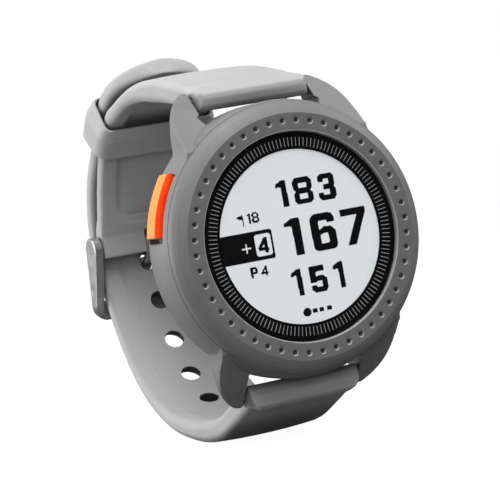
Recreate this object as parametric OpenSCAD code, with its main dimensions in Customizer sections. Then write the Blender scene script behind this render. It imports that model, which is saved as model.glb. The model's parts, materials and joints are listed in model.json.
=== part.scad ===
// Round wrist watch for golf distances: case with four lugs, dimpled bezel,
// one side button, and a two-piece silicone strap buckled into its loop.
// +Z points to 12 o'clock, +X to 3 o'clock, +Y out of the case back to the wrist.
// The origin is the centre of the case back's outer face.

/* [Case] */
// Outer radius of the case wall
case_r = 24.8; // [24.4:0.1:25.4]
// Depth of the whole case, from the bezel's front to the case back
case_t = 13.3; // [13.3:0.1:14.5]
// Gap between two lugs, for a 22 mm strap
lug_gap = 22.6; // [22.3:0.1:23]
// Height of a lug's tip above the dial's centre
lug_tip = 28.3; // [28:0.1:29]

/* [Bezel] */
// Inner radius of the bezel, around the lens
bezel_ri = 18.45; // [18.4:0.05:18.6]
// Radius of the flat part of the bezel
bezel_flat_r = 21.6; // [21.2:0.1:22]
// Number of dimples around the bezel
dimples = 48; // [24:12:60]
// Radius of the circle that the dimples lie on
dimple_circle_r = 20.3; // [20:0.1:20.6]
// Radius of one dimple at the surface
dimple_r = 0.42; // [0.3:0.02:0.5]

/* [Button] */
// Angle of the button above 9 o'clock
button_angle = 22.5; // [18:0.5:26]
// Half the angle that the button's cap spans
button_half = 13; // [11:0.5:13.5]
// Outer radius of the button's cap
button_r = 25.5; // [25.2:0.1:26]
// How far the button travels
button_travel = 0.5; // [0.3:0.1:0.5]

/* [Strap] */
// Width of the strap
strap_w = 21.6; // [21:0.1:22]
// Thickness of the strap at the lugs
strap_t_lug = 4.4; // [4.1:0.1:4.5]
// Thickness of the strap at the buckle and tail
strap_t_end = 3.3; // [3.1:0.1:3.4]
// Radius of an adjustment hole
hole_r = 1.8; // [1.6:0.1:2]

/* [Buckle] */
// Radius of the pin that the buckle turns on
pin_r = 0.75; // [0.7:0.05:0.8]
// Thickness of a buckle leg
leg_t = 1.7; // [1.4:0.1:1.8]

/* [Hidden] */
$fn = 96;
off = case_t;                 // dial plane sits this far in front of the case back
lug_in = lug_gap / 2;
bar_y = 13.0;                 // spring bar line, depth behind the dial plane
bar_z = 26.6;
piv = [73.2, 2.8];            // buckle pivot, [depth, height]
keep_c = [40.5, 2.5];         // centre of the strap's curve under the keeper
keep_rs = 31.5;               // outer radius of the short strap under the keeper
layer_gap = 0.3;              // between the two strap layers
keep_mid = 48.7;                // middle of the keeper on that curve, degrees
keep_half = 7.5;
keep_wall = 1.4;
keep_gap = 0.5;

// ---- shared shapes ----

// All pieces are drawn with the dial plane at y = 0, then moved to the frame's origin.
module place() { translate([0, -off, 0]) children(); }

// A cylinder along +Y between two depths.
module disc(r, y0, y1, x = 0, z = 0) {
  translate([x, y0, z]) rotate([-90, 0, 0]) cylinder(r = r, h = y1 - y0);
}
// A body of revolution about the dial's axis. Points are [radius, depth].
module turn(pts) { rotate([-90, 0, 0]) rotate_extrude() polygon(pts); }
module ring(ri, ro, y0, y1) { turn([[ri, y0], [ro, y0], [ro, y1], [ri, y1]]); }
// A cylinder along +X through [depth, height].
module rod(r, x0, x1, p) {
  translate([x0, p[0], p[1]]) rotate([0, 90, 0]) cylinder(r = r, h = x1 - x0);
}
// An outline in [depth, height], drawn out along X between x0 and x1.
module slab(pts, x0, x1) {
  translate([x0, 0, 0]) rotate([90, 0, 90]) linear_extrude(height = x1 - x0) polygon(pts);
}
// A box from its low and high corners.
module block(a, b) { translate(a) cube(b - a); }
// Children drawn along the button's axis: +Z outwards, from the dial's axis.
module on_button() {
  translate([0, 7.4, 0]) rotate([0, -90 + button_angle, 0]) children();
}

// Smooth curve through hand-set points.
function bend(a, b, c, d, t) = 0.5 * (2 * b + (c - a) * t + (2 * a - 5 * b + 4 * c - d) * t * t
  + (3 * b - a - 3 * c + d) * t * t * t);
function smooth(p, n) = [for (i = [0:len(p) - 2]) for (k = [0:n - 1])
  bend(i == 0 ? 2 * p[0] - p[1] : p[i - 1], p[i], p[i + 1],
    i == len(p) - 2 ? 2 * p[i + 1] - p[i] : p[i + 2], k / n), p[len(p) - 1]];
function dir(c, i) = let (a = c[max(i - 1, 0)], b = c[min(i + 1, len(c) - 1)]) (b - a) / norm(b - a);
function side(c, i) = let (t = dir(c, i)) [-t[1], t[0]];
function mix(a, b, t) = a + (b - a) * min(max(t, 0), 1);
// Outline of a strap from its outer surface, thinning from t0 to t1 between shares a and b of its length.
function strap_outline(c, sgn, t0, t1, a, b) = let (n = len(c) - 1) concat(c,
  [for (i = [n:-1:0]) c[i] + sgn * side(c, i) * mix(t0, t1, (i / n - a) / (b - a))]);
// Outline of a bar of changing half width about its centreline.
function bar_outline(c, w) = let (n = len(c) - 1) concat(
  [for (i = [0:n]) c[i] + side(c, i) * w[i]], [for (i = [n:-1:0]) c[i] - side(c, i) * w[i]]);
// Points on the curve that the keeper slides along.
function on_arc(r, a) = keep_c + r * [cos(a), sin(a)];

// Outer surface of the short strap, from the upper lugs over the top to the buckle.
short_pts = concat([[12.6, 29.0], [18.1, 30.4], [24.3, 31.7], [30.8, 32.7], [37, 33.2], [43, 32.9],
  [48.6, 31.9], [53.4, 30.5]], [for (a = [59:-7:31]) on_arc(keep_rs, a)],
  [[69.7, 15.0], [71.7, 11.0], [73.5, 7.3], [74.9, 4.4]]);
// Outer surface of the long strap, from the lower lugs, through the buckle, to the tail.
long_r = keep_rs + layer_gap + strap_t_end;
long_pts = concat([[12.6, -29.2], [20.2, -32.3], [27, -34.8], [34, -35.9], [42.6, -35.6],
  [52.3, -33.8], [61.1, -29.6], [67.5, -24.1], [71.9, -17.9], [74.9, -12.0], [76.6, -7.6], [78.1, -2.8],
  [79.0, 2], [79.0, 6.6], [77.7, 11.4], [75.4, 15.9], [72.6, 19.6]],
  [for (a = [36:7:50]) on_arc(long_r, a)], [[60.3, 31.5], [57, 34.0], [53.6, 36.1], [50.2, 37.6]]);
short_c = smooth(short_pts, 4);
long_c = smooth(long_pts, 4);
// Where the adjustment holes cross the long strap: [depth, height] and the strap's direction there.
holes = [[77.0, -1.3, 80], [74.6, -9.9, 66], [70.0, -18.0, 55], [64.0, -24.9, 43], [56.6, -29.9, 30],
  [76.5, 9.2, 110], [72.4, 16.9, 125], [66.2, 23.2, 139]];

// ---- case ----

module lug_plan() {
  // Seen from the front: straight inner face, outer face sweeping in to the tip.
  polygon([[lug_in, 14], [lug_in, lug_tip - 0.25], [lug_in + 0.35, lug_tip], [12.6, lug_tip - 0.1],
    [14.2, 27.2], [15.5, 25.9], [16.5, 24.3], [17.1, 22.4], [17.35, 20.4], [17.35, 18.6], [17.2, 14]]);
}
module lug_side() {
  // Seen from the side: the front falls back at 45 degrees, and the tip reaches behind the case back.
  polygon([[3.1, 14], [3.1, 17.7], [5.6, 20.2], [8.9, 23.8], [12.2, 27.2], [13.0, 28.2], [13.6, 28.6], [14.2, 28.2], [14.9, 26.8],
    [15.1, 25.2], [14.6, 23.6], [12.4, 21], [11, 19], [11, 14]]);
}
module lug(sx, sz) {
  scale_x = sx < 0 ? 1 : 0;
  scale_z = sz < 0 ? 1 : 0;
  mirror([scale_x, 0, 0]) mirror([0, 0, scale_z]) difference() {
    intersection() {
      translate([0, 20, 0]) rotate([90, 0, 0]) linear_extrude(height = 20) lug_plan();
      translate([10, 0, 0]) rotate([90, 0, 90]) linear_extrude(height = 10) lug_side();
      block([8, 0, 10], [30, 20, 32]);
    }
    // the rear of the outer face is bevelled
    translate([17.4, 9.6, 10]) rotate([0, 0, 45]) cube([8, 14, 22]);
    rod(0.45, lug_in - 1, lug_in + 1.5, [bar_y, bar_z]);
  }
}

module case_body() color([0.42, 0.43, 0.44]) place() {
  difference() {
    union() {
      difference() {
        union() {
          turn([[20, 3.05], [24.15, 3.05], [case_r - 0.2, 4.6], [case_r, 6.2], [case_r, 9.8],
            [case_r - 0.5, 11.1], [23.1, 12.6], [20, 12.6]]);
          disc(21, 3.05, 12.6);
          for (sx = [-1, 1]) for (sz = [-1, 1]) lug(sx, sz);
        }
        // hollows that let the strap's ends turn about their bars
        for (s = [-1, 1]) rod(3.8, -lug_in, lug_in, [bar_y, s * bar_z]);
        // room for the electronics, a flange for the cover, and the cover's seat
        disc(22.3, 2, 4.8);
        disc(21.6, 2, 9.9);
        disc(16.8, 2, 14);
        disc(22.0, 11.4, 16);
        // seal groove and cover screw threads
        ring(17.4, 18.6, 10.6, 11.5);
        for (a = [45:90:315]) disc(0.75, 9, 12, 20.1 * cos(a), 20.1 * sin(a));
        // recess for the button's cap
        rotate([-90, 0, 0]) rotate([0, 0, 180 + button_angle - 15.7])
          rotate_extrude(angle = 31.4) polygon([[23.1, 4.4], [27, 4.4], [27, 10.4], [23.1, 10.4]]);
        // stem hole and its seal's seat
        on_button() translate([0, 0, 20]) cylinder(r = 1.05, h = 4);
        on_button() translate([0, 0, 22.0]) cylinder(r = 1.8, h = 3);
      }
    }
  }
}

module bezel() color([0.40, 0.41, 0.42]) place() {
  difference() {
    turn([[bezel_ri, 0.1], [bezel_ri + 0.1, 0], [bezel_flat_r, 0], [22.5, 0.42], [23.3, 1.15],
      [23.85, 2.05], [24.1, 2.98], [22.2, 2.98], [22.2, 4.6], [21.1, 4.6], [21.1, 2.4], [16.95, 2.4],
      [16.95, 1.15], [bezel_ri, 1.15]]);
    for (i = [0:dimples - 1]) let (a = 90 + i * 360 / dimples)
      translate([dimple_circle_r * cos(a), -0.03, dimple_circle_r * sin(a)]) sphere(r = dimple_r, $fn = 24);
  }
}

module lens() color([0.8, 0.86, 0.9, 0.35]) place()
  turn([[0, 0.1], [18.2, 0.1], [18.35, 0.22], [18.35, 0.8], [0, 0.8]]);

module minute_ring() color([0.05, 0.05, 0.05]) place() ring(15.2, 18.3, 0.8, 0.95);

module touch_sensor() color([0.75, 0.8, 0.82, 0.5]) place() disc(17.05, 0.95, 1.15);

module lens_gasket() color([0.1, 0.1, 0.1]) place() ring(17.15, 18.35, 0.95, 1.15);

module display_panel() color([0.86, 0.88, 0.89]) place() {
  disc(16.8, 1.15, 2.5);
}

module light_guide() color([0.93, 0.94, 0.95]) place() disc(16.6, 2.5, 2.9);

module display_flex() color([0.72, 0.45, 0.12]) place() {
  block([-3.5, 3.0, -17.45], [3.5, 4.9, -17.25]);
  block([-3.5, 2.9, -17.45], [3.5, 3.1, -16.1]);
}

module display_frame() color([0.16, 0.16, 0.17]) place() {
  difference() {
    union() {
      ring(16.9, 20.95, 2.45, 3.0);
      disc(20.95, 2.97, 3.7);
      for (a = [100, 220, 340]) disc(1.4, 3.6, 4.9, 17.4 * cos(a), 17.4 * sin(a));
    }
    block([-3.8, 2, -17.8], [3.8, 5, -16]);
    for (a = [100, 220, 340]) disc(0.5, 3.9, 6, 17.4 * cos(a), 17.4 * sin(a));
  }
}

module main_board() color([0.05, 0.32, 0.18]) place() {
  difference() {
    disc(19.6, 4.9, 5.7);
    for (a = [100, 220, 340]) disc(0.6, 4, 6, 17.4 * cos(a), 17.4 * sin(a));
    block([-3.8, 4, -21], [3.8, 6, -18]);
  }
}

module board_screws() color([0.75, 0.75, 0.77]) place() {
  for (a = [100, 220, 340]) {
    disc(0.48, 4.1, 5.8, 17.4 * cos(a), 17.4 * sin(a));
    disc(1.1, 5.7, 6.2, 17.4 * cos(a), 17.4 * sin(a));
  }
}

module shield_can() color([0.78, 0.79, 0.8]) place() {
  difference() {
    block([6, 5.7, 5.2], [14, 7.1, 13]);
    block([6.2, 5, 5.4], [13.8, 6.9, 12.8]);
  }
}

module gnss_antenna() color([0.85, 0.8, 0.68]) place() {
  block([-5, 5.7, 8.2], [4, 8.0, 15.6]);
  block([-4, 8.0, 9.2], [3, 8.15, 14.6]);
}

module battery_pad() color([0.15, 0.15, 0.16]) place() block([-10.5, 5.7, -13.5], [10.5, 5.9, 2.5]);

module battery() color([0.62, 0.64, 0.66]) place() {
  block([-11.5, 5.9, -14.2], [11.5, 9.6, 3.4]);
  block([-9, 6.6, 3.4], [9, 8.6, 4.3]);
}

module button_switch() color([0.2, 0.2, 0.21]) place() {
  on_button() translate([-1.35, -1.7, 15.6]) cube([2.7, 3.6, 2.7]);
  on_button() translate([0, 0, 18.2]) cylinder(r = 0.7, h = 1.1 - button_travel);
}

module contact_block() color([0.14, 0.14, 0.15]) place() {
  difference() {
    block([-5.6, 9.9, 4.6], [5.6, 11.4, 7.6]);
    for (x = [-3.81, -1.27, 1.27, 3.81]) disc(0.5, 9, 12, x, 6.1);
  }
}

module charge_contacts() color([0.86, 0.68, 0.3]) place() {
  for (x = [-3.81, -1.27, 1.27, 3.81]) {
    disc(0.45, 5.7, 11.6, x, 6.1);
    disc(0.8, 11.5, case_t - 0.1, x, 6.1);
  }
}

module case_back() color([0.3, 0.31, 0.32]) place() {
  difference() {
    turn([[0, 11.5], [21.9, 11.5], [21.9, case_t - 0.7], [21.2, case_t], [0, case_t]]);
    for (x = [-3.81, -1.27, 1.27, 3.81]) disc(0.85, 11, 15, x, 6.1);
    for (a = [45:90:315]) {
      disc(0.85, 11, 15, 20.1 * cos(a), 20.1 * sin(a));
      disc(1.3, 12.3, 15, 20.1 * cos(a), 20.1 * sin(a));
    }
  }
}

module back_gasket() color([0.1, 0.1, 0.1]) place()
  translate([0, 11.03, 0]) rotate([-90, 0, 0]) rotate_extrude() translate([18, 0]) circle(r = 0.42, $fn = 32);

module back_screws() color([0.7, 0.7, 0.72]) place() {
  for (a = [45:90:315]) difference() {
    union() {
      disc(0.7, 9.95, 12.4, 20.1 * cos(a), 20.1 * sin(a));
      disc(1.2, 12.3, 13.0, 20.1 * cos(a), 20.1 * sin(a));
    }
    translate([20.1 * cos(a), 12.7, 20.1 * sin(a)]) rotate([0, 30, 0]) {
      translate([-0.8, 0, -0.14]) cube([1.6, 1, 0.28]);
      translate([-0.14, 0, -0.8]) cube([0.28, 1, 1.6]);
    }
  }
}

// ---- button ----

module power_button() color([1.0, 0.42, 0.1]) place() {
  difference() {
    union() {
      rotate([-90, 0, 0]) rotate([0, 0, 180 + button_angle - button_half])
        rotate_extrude(angle = 2 * button_half) polygon([[23.9, 5.0], [24.9, 5.0], [button_r, 5.7],
          [button_r, 9.2], [24.9, 9.8], [23.9, 9.8]]);
      on_button() translate([0, 0, 19.6]) cylinder(r = 1.0, h = 4.7);
    }
    on_button() translate([0, 0, 20.7]) difference() {
      cylinder(r = 2, h = 0.46);
      translate([0, 0, -1]) cylinder(r = 0.7, h = 3);
    }
  }
}

module button_seal() color([0.12, 0.12, 0.12]) place()
  on_button() translate([0, 0, 22.45]) rotate_extrude() translate([1.41, 0]) circle(r = 0.36, $fn = 32);

module button_clip() color([0.75, 0.75, 0.77]) place() {
  on_button() translate([0, 0, 20.76]) difference() {
    cylinder(r = 1.8, h = 0.34);
    translate([0, 0, -1]) cylinder(r = 0.74, h = 3);
    translate([-0.5, 0, -1]) cube([1.0, 3, 3]);
  }
}

// ---- spring bars ----

// A barrel with one fixed tip, hollow at the other end for the sliding tip and its knob.
module bar(s) {
  p = [bar_y, s * bar_z];
  difference() {
    union() {
      rod(0.75, -10.6, 10.6, p);
      rod(0.4, -12.6, -10.5, p);
    }
    rod(0.46, 2.5, 11, p);
    block([4.9, bar_y - 0.55, s > 0 ? bar_z - 2 : -bar_z], [8.1, bar_y + 0.55, s > 0 ? bar_z : -bar_z + 2]);
  }
}
// The sliding tip, with the knob that a finger pushes along the strap's inner side.
module release(s) {
  p = [bar_y, s * bar_z];
  rod(0.4, 5.2, 12.6, p);
  translate([7.3, bar_y, s * bar_z]) rotate([s > 0 ? 180 : 0, 0, 0]) cylinder(r = 0.42, h = 3.2);
  translate([7.3, bar_y, s * (bar_z - 3.1)]) rotate([s > 0 ? 180 : 0, 0, 0]) cylinder(r = 0.6, h = 0.5);
}
module upper_bar() color([0.7, 0.7, 0.72]) place() bar(1);
module upper_release() color([0.7, 0.7, 0.72]) place() release(1);
module lower_bar() color([0.7, 0.7, 0.72]) place() bar(-1);
module lower_release() color([0.7, 0.7, 0.72]) place() release(-1);

// ---- strap ----

// The end between two lugs: a block around the spring bar with its lower front edge bevelled.
module strap_end(s) {
  mirror([0, 0, s > 0 ? 0 : 1]) slab([[9.9, 25.4], [10.6, 24.5], [13.6, 24.75], [13.6, 29.3], [12.6, 29.0],
    [10.5, 28.3], [9.6, 27.6], [9.5, 26.6]], -strap_w / 2, strap_w / 2);
}
module bar_hole(s) {
  rod(0.8, -strap_w, strap_w, [bar_y, s * bar_z]);
  mirror([0, 0, s > 0 ? 0 : 1]) block([4.7, bar_y - 0.9, 20], [8.2, bar_y + 0.9, bar_z]);
}

module upper_strap() color([0.72, 0.73, 0.73]) place() {
  difference() {
    union() {
      strap_end(1);
      slab(strap_outline(short_c, -1, strap_t_lug, strap_t_end - 0.1, 0.28, 0.46), -strap_w / 2, strap_w / 2);
      rod(2.05, -strap_w / 2, strap_w / 2, piv);
    }
    bar_hole(1);
    rod(pin_r + 0.04, -strap_w, strap_w, piv);
    // notch for the tang
    block([-1.6, 60, -1], [1.6, 90, 5.6]);
  }
}

module lower_strap() color([0.72, 0.73, 0.73]) place() {
  difference() {
    union() {
      strap_end(-1);
      slab(strap_outline(long_c, 1, strap_t_lug, strap_t_end, 0.15, 0.36), -strap_w / 2, strap_w / 2);
    }
    bar_hole(-1);
    for (h = holes) translate([0, h[0], h[1]]) rotate([h[2] - 180, 0, 0]) translate([0, 0, -4])
      cylinder(r = hole_r, h = 8);
    // round tail
    difference() {
      block([-20, 44, 27], [20, 60.9, 45]);
      translate([0, 60.9, 20]) cylinder(r = strap_w / 2, h = 30);
    }
  }
}

// A free loop that holds the tail against the short strap.
module strap_keeper() color([0.72, 0.73, 0.73]) place() {
  ri = keep_rs - strap_t_end + 0.1 - keep_gap;
  ro = long_r + keep_gap;
  w = strap_w / 2 + 0.35;
  translate([0, keep_c[0], keep_c[1]]) rotate([0, 90, 0]) rotate([0, 0, 90 + keep_mid - keep_half])
    rotate_extrude(angle = 2 * keep_half) difference() {
      polygon([[ri - keep_wall, -w - keep_wall + 1], [ri - keep_wall + 1, -w - keep_wall],
        [ro + keep_wall - 1.6, -w - keep_wall], [ro + keep_wall - 0.5, -w - keep_wall + 0.5],
        [ro + keep_wall, -w - keep_wall + 1.6], [ro + keep_wall, w + keep_wall - 1.6],
        [ro + keep_wall - 0.5, w + keep_wall - 0.5], [ro + keep_wall - 1.6, w + keep_wall],
        [ri - keep_wall + 1, w + keep_wall], [ri - keep_wall, w + keep_wall - 1]]);
      polygon([[ri, -w], [ro, -w], [ro, w], [ri, w]]);
    }
}

// ---- buckle ----

leg_c = smooth([[73.2, 2.8], [74.4, -1.0], [75.7, -5.2], [77.3, -9.6]], 4);
leg_w = [for (i = [0:len(leg_c) - 1]) mix(2.7, 1.25, i / (len(leg_c) - 1))];
bar_p = [77.7, -9.75];

module buckle_frame() color([0.6, 0.61, 0.62]) place() {
  x0 = strap_w / 2 + 0.3;
  difference() {
    union() {
      for (s = [-1, 1]) mirror([s < 0 ? 1 : 0, 0, 0]) {
        slab(bar_outline(leg_c, leg_w), x0, x0 + leg_t);
        rod(2.7, x0, x0 + leg_t, piv);
        rod(1.25, x0, x0 + leg_t, leg_c[len(leg_c) - 1]);
      }
      rod(1.05, -x0 - 0.5, x0 + 0.5, bar_p);
    }
    rod(pin_r + 0.05, -20, 20, piv);
    // corners cut off between the legs and the end bar
    for (s = [-1, 1]) mirror([s < 0 ? 1 : 0, 0, 0]) translate([x0 + leg_t, 60, -8.6]) rotate([0, 42, 0])
      translate([0, 0, -12]) cube([12, 30, 24]);
  }
}

tang_c = smooth([[73.5, 1.6], [74.1, 0.2], [75.2, -1.2], [77.1, -2.0], [79.1, -2.6], [80.2, -4.3], [80.3, -6.9],
  [79.9, -9.3], [79.2, -11.0]], 3);
tang_w = [for (i = [0:len(tang_c) - 1]) i > len(tang_c) - 3 ? 0.45 : 0.6];
module buckle_tang() color([0.6, 0.61, 0.62]) place() {
  difference() {
    union() {
      slab(bar_outline(tang_c, tang_w), -0.95, 0.95);
      rod(1.6, -1.3, 1.3, piv);
    }
    rod(pin_r + 0.05, -5, 5, piv);
  }
}

module buckle_pin() color([0.6, 0.61, 0.62]) place()
  rod(pin_r, -strap_w / 2 - 0.3 - leg_t + 0.05, strap_w / 2 + 0.3 + leg_t - 0.05, piv);

case_body();
bezel();
lens();
minute_ring();
touch_sensor();
lens_gasket();
display_panel();
light_guide();
display_flex();
display_frame();
main_board();
board_screws();
shield_can();
gnss_antenna();
battery_pad();
battery();
button_switch();
contact_block();
charge_contacts();
case_back();
back_gasket();
back_screws();
power_button();
button_seal();
button_clip();
upper_bar();
upper_release();
lower_bar();
lower_release();
upper_strap();
lower_strap();
strap_keeper();
buckle_frame();
buckle_tang();
buckle_pin();
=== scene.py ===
import json
import math

import bmesh
import bpy
import numpy as np
from mathutils import Matrix, Vector
from mathutils.geometry import delaunay_2d_cdt


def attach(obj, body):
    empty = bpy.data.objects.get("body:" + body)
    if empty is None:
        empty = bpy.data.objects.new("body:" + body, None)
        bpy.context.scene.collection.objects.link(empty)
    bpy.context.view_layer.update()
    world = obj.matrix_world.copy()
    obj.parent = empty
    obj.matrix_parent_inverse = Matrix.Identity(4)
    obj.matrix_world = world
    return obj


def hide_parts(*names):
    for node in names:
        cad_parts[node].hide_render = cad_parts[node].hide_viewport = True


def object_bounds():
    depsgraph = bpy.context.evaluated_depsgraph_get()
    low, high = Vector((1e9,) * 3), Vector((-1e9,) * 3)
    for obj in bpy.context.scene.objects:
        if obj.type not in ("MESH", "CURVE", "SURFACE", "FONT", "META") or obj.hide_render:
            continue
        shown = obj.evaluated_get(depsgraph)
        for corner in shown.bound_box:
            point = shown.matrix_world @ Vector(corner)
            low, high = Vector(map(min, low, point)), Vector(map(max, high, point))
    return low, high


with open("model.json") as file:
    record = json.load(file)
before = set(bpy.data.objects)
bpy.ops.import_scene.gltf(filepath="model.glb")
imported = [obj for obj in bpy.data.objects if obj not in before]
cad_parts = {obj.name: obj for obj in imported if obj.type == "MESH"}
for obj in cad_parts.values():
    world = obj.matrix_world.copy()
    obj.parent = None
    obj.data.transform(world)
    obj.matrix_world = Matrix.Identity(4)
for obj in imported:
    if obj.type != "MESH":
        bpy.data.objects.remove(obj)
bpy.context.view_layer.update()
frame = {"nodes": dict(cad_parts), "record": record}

# Lengths below are in millimetres in the dial's own axes: x to 3 o'clock, d into the
# wrist from the bezel's front, z to 12 o'clock. put() turns them into the row's metres.
OFF = 13.3
SCENE = bpy.context.scene
LINK = SCENE.collection.objects.link


def put(p):
    return (p[0] * 1e-3, (p[1] - OFF) * 1e-3, p[2] * 1e-3)


# ---------------------------------------------------------------- mesh helpers

def mesh_object(name, verts, faces, angle=40.0, flip_check=True):
    me = bpy.data.meshes.new(name)
    me.from_pydata([put(v) for v in verts], [], faces)
    ob = bpy.data.objects.new(name, me)
    LINK(ob)
    tidy(ob, angle, flip_check)
    return ob


def tidy(ob, angle=40.0, normals=True, merge=2e-7):
    bm = bmesh.new()
    bm.from_mesh(ob.data)
    if merge:
        bmesh.ops.remove_doubles(bm, verts=bm.verts, dist=merge)
    bmesh.ops.dissolve_degenerate(bm, edges=bm.edges, dist=1e-7)
    if normals:
        bmesh.ops.recalc_face_normals(bm, faces=bm.faces)
    bm.to_mesh(ob.data)
    bm.free()
    shade(ob, angle)


def shade(ob, angle=40.0):
    me = ob.data
    me.polygons.foreach_set("use_smooth", [True] * len(me.polygons))
    bm = bmesh.new()
    bm.from_mesh(me)
    lim = math.radians(angle)
    for e in bm.edges:
        if len(e.link_faces) == 2:
            e.smooth = e.calc_face_angle(0.0) < lim
        else:
            e.smooth = False
    bm.to_mesh(me)
    bm.free()
    me.update()


def apply_mods(ob):
    dg = bpy.context.evaluated_depsgraph_get()
    dg.update()
    me = bpy.data.meshes.new_from_object(ob.evaluated_get(dg))
    old = ob.data
    ob.modifiers.clear()
    ob.data = me
    bpy.data.meshes.remove(old)
    return ob


def boolean(ob, others, op="DIFFERENCE", keep=False, self_x=False):
    for o in others:
        m = ob.modifiers.new("b", "BOOLEAN")
        m.operation = op
        m.solver = "EXACT"
        m.use_self = self_x
        m.object = o
    apply_mods(ob)
    assert len(ob.data.vertices), "a boolean left nothing"
    if not keep:
        for o in others:
            bpy.data.objects.remove(o)
    return ob


def remesh(ob, voxel, smooth=4, factor=0.5):
    m = ob.modifiers.new("r", "REMESH")
    m.mode = "VOXEL"
    m.voxel_size = voxel * 1e-3
    m.use_smooth_shade = True
    if smooth:
        s = ob.modifiers.new("s", "SMOOTH")
        s.factor = factor
        s.iterations = smooth
    return apply_mods(ob)


def bevelled(ob, width, segments=3, angle=30.0):
    m = ob.modifiers.new("v", "BEVEL")
    m.width = width * 1e-3
    m.segments = segments
    m.limit_method = "ANGLE"
    m.angle_limit = math.radians(angle)
    m.use_clamp_overlap = True
    apply_mods(ob)
    return ob


def fused(ob, others):
    """Several closed bodies in one object, ready for a remesh that makes them one skin."""
    bm = bmesh.new()
    bm.from_mesh(ob.data)
    for o in others:
        bm.from_mesh(o.data)
    bm.to_mesh(ob.data)
    bm.free()
    for o in others:
        bpy.data.objects.remove(o)
    return ob


def joined(name, parts):
    """One object from several meshes."""
    verts, faces, base = [], [], 0
    for v, f in parts:
        verts += list(v)
        faces += [tuple(i + base for i in q) for q in f]
        base += len(v)
    return verts, faces


# ---------------------------------------------------------------- 2D helpers

def fillet(points, radii, closed=True, seg=5):
    """Rounds a polygon's corners. radii is one number or one per point."""
    n = len(points)
    out = []
    for i, p in enumerate(points):
        r = radii[i] if hasattr(radii, "__len__") else radii
        p = np.array(p, float)
        if r <= 0 or (not closed and i in (0, n - 1)):
            out.append(tuple(p))
            continue
        a = np.array(points[(i - 1) % n], float) - p
        b = np.array(points[(i + 1) % n], float) - p
        la, lb = np.linalg.norm(a), np.linalg.norm(b)
        a, b = a / la, b / lb
        c = float(np.clip(a @ b, -1, 1))
        half = math.acos(c) / 2
        if half > math.radians(88.5):
            out.append(tuple(p))
            continue
        t = min(r / math.tan(half), 0.48 * la, 0.48 * lb)
        r2 = t * math.tan(half)
        centre = p + (a + b) / np.linalg.norm(a + b) * (r2 / math.sin(half))
        s, e = p + a * t, p + b * t
        v0, v1 = s - centre, e - centre
        a0 = math.atan2(v0[1], v0[0])
        da = math.atan2(v0[0] * v1[1] - v0[1] * v1[0], v0 @ v1)
        for k in range(seg + 1):
            g = a0 + da * k / seg
            out.append((centre[0] + r2 * math.cos(g), centre[1] + r2 * math.sin(g)))
    return out


def bend(a, b, c, d, t):
    return 0.5 * (2 * b + (c - a) * t + (2 * a - 5 * b + 4 * c - d) * t * t
                  + (3 * b - a - 3 * c + d) * t ** 3)


def spline(points, n):
    p = [np.array(q, float) for q in points]
    p = [2 * p[0] - p[1]] + p + [2 * p[-1] - p[-2]]
    out = []
    for i in range(1, len(p) - 2):
        for k in range(n):
            out.append(bend(p[i - 1], p[i], p[i + 1], p[i + 2], k / n))
    out.append(p[-2])
    return np.array(out)


def length_of(c):
    c = np.asarray(c, float)
    return np.r_[0, np.cumsum(np.linalg.norm(np.diff(c, axis=0), axis=1))]


def resample(c, n):
    c = np.asarray(c, float)
    s = length_of(c)
    t = np.linspace(0, s[-1], n)
    return np.stack([np.interp(t, s, c[:, k]) for k in range(c.shape[1])], 1)


def normals_of(c):
    """Unit normals of a polyline, turned a quarter left from its direction."""
    c = np.asarray(c, float)
    t = np.gradient(c, axis=0)
    t /= np.maximum(np.linalg.norm(t, axis=1, keepdims=True), 1e-9)
    return np.stack([-t[:, 1], t[:, 0]], 1)


def smooth_step(x, a, b):
    t = np.clip((x - a) / (b - a), 0, 1)
    return t * t * (3 - 2 * t)


# ---------------------------------------------------------------- solids

def turned(profile, n=288, a0=0.0, a1=360.0):
    """A closed [radius, depth] outline turned about the dial's axis."""
    full = abs(a1 - a0 - 360) < 1e-6
    m = n if full else n + 1
    verts, faces, k = [], [], len(profile)
    for i in range(m):
        a = math.radians(a0 + (a1 - a0) * i / n)
        for r, d in profile:
            verts.append((r * math.cos(a), d, r * math.sin(a)))
    for i in range(n):
        j = (i + 1) % m
        for q in range(k):
            w = (q + 1) % k
            faces.append((i * k + q, i * k + w, j * k + w, j * k + q))
    if not full:
        faces.append(tuple(range(k)))
        faces.append(tuple((m - 1) * k + q for q in reversed(range(k))))
    return verts, faces


def turned_to_axis(profile, n=288):
    """An open [radius, depth] outline that starts and ends on the axis."""
    verts, faces = [], []
    inner = [p for p in profile if p[0] > 1e-6]
    k = len(inner)
    for i in range(n):
        a = math.tau * i / n
        verts += [(r * math.cos(a), d, r * math.sin(a)) for r, d in inner]
    top, bottom = len(verts), len(verts) + 1
    verts += [(0, profile[0][1], 0), (0, profile[-1][1], 0)]
    for i in range(n):
        j = (i + 1) % n
        for q in range(k - 1):
            faces.append((i * k + q, i * k + q + 1, j * k + q + 1, j * k + q))
        faces.append((top, i * k, j * k))
        faces.append((bottom, j * k + k - 1, i * k + k - 1))
    return verts, faces


def prism(outline, lo, hi, axis):
    """An outline drawn straight along x ('x': outline is [d, z]), along d ('d': [x, z]) or z ('z': [x, d])."""
    n = len(outline)
    put3 = {"x": lambda a, b, t: (t, a, b), "d": lambda a, b, t: (a, t, b), "z": lambda a, b, t: (a, b, t)}[axis]
    verts = [put3(a, b, lo) for a, b in outline] + [put3(a, b, hi) for a, b in outline]
    faces = [tuple(range(n)), tuple(range(2 * n - 1, n - 1, -1))]
    faces += [(i, (i + 1) % n, n + (i + 1) % n, n + i) for i in range(n)]
    return verts, faces


def rod(r, x0, x1, p, n=40):
    return prism([(p[0] + r * math.cos(math.tau * i / n), p[1] + r * math.sin(math.tau * i / n)) for i in range(n)], x0, x1, "x")


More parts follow.
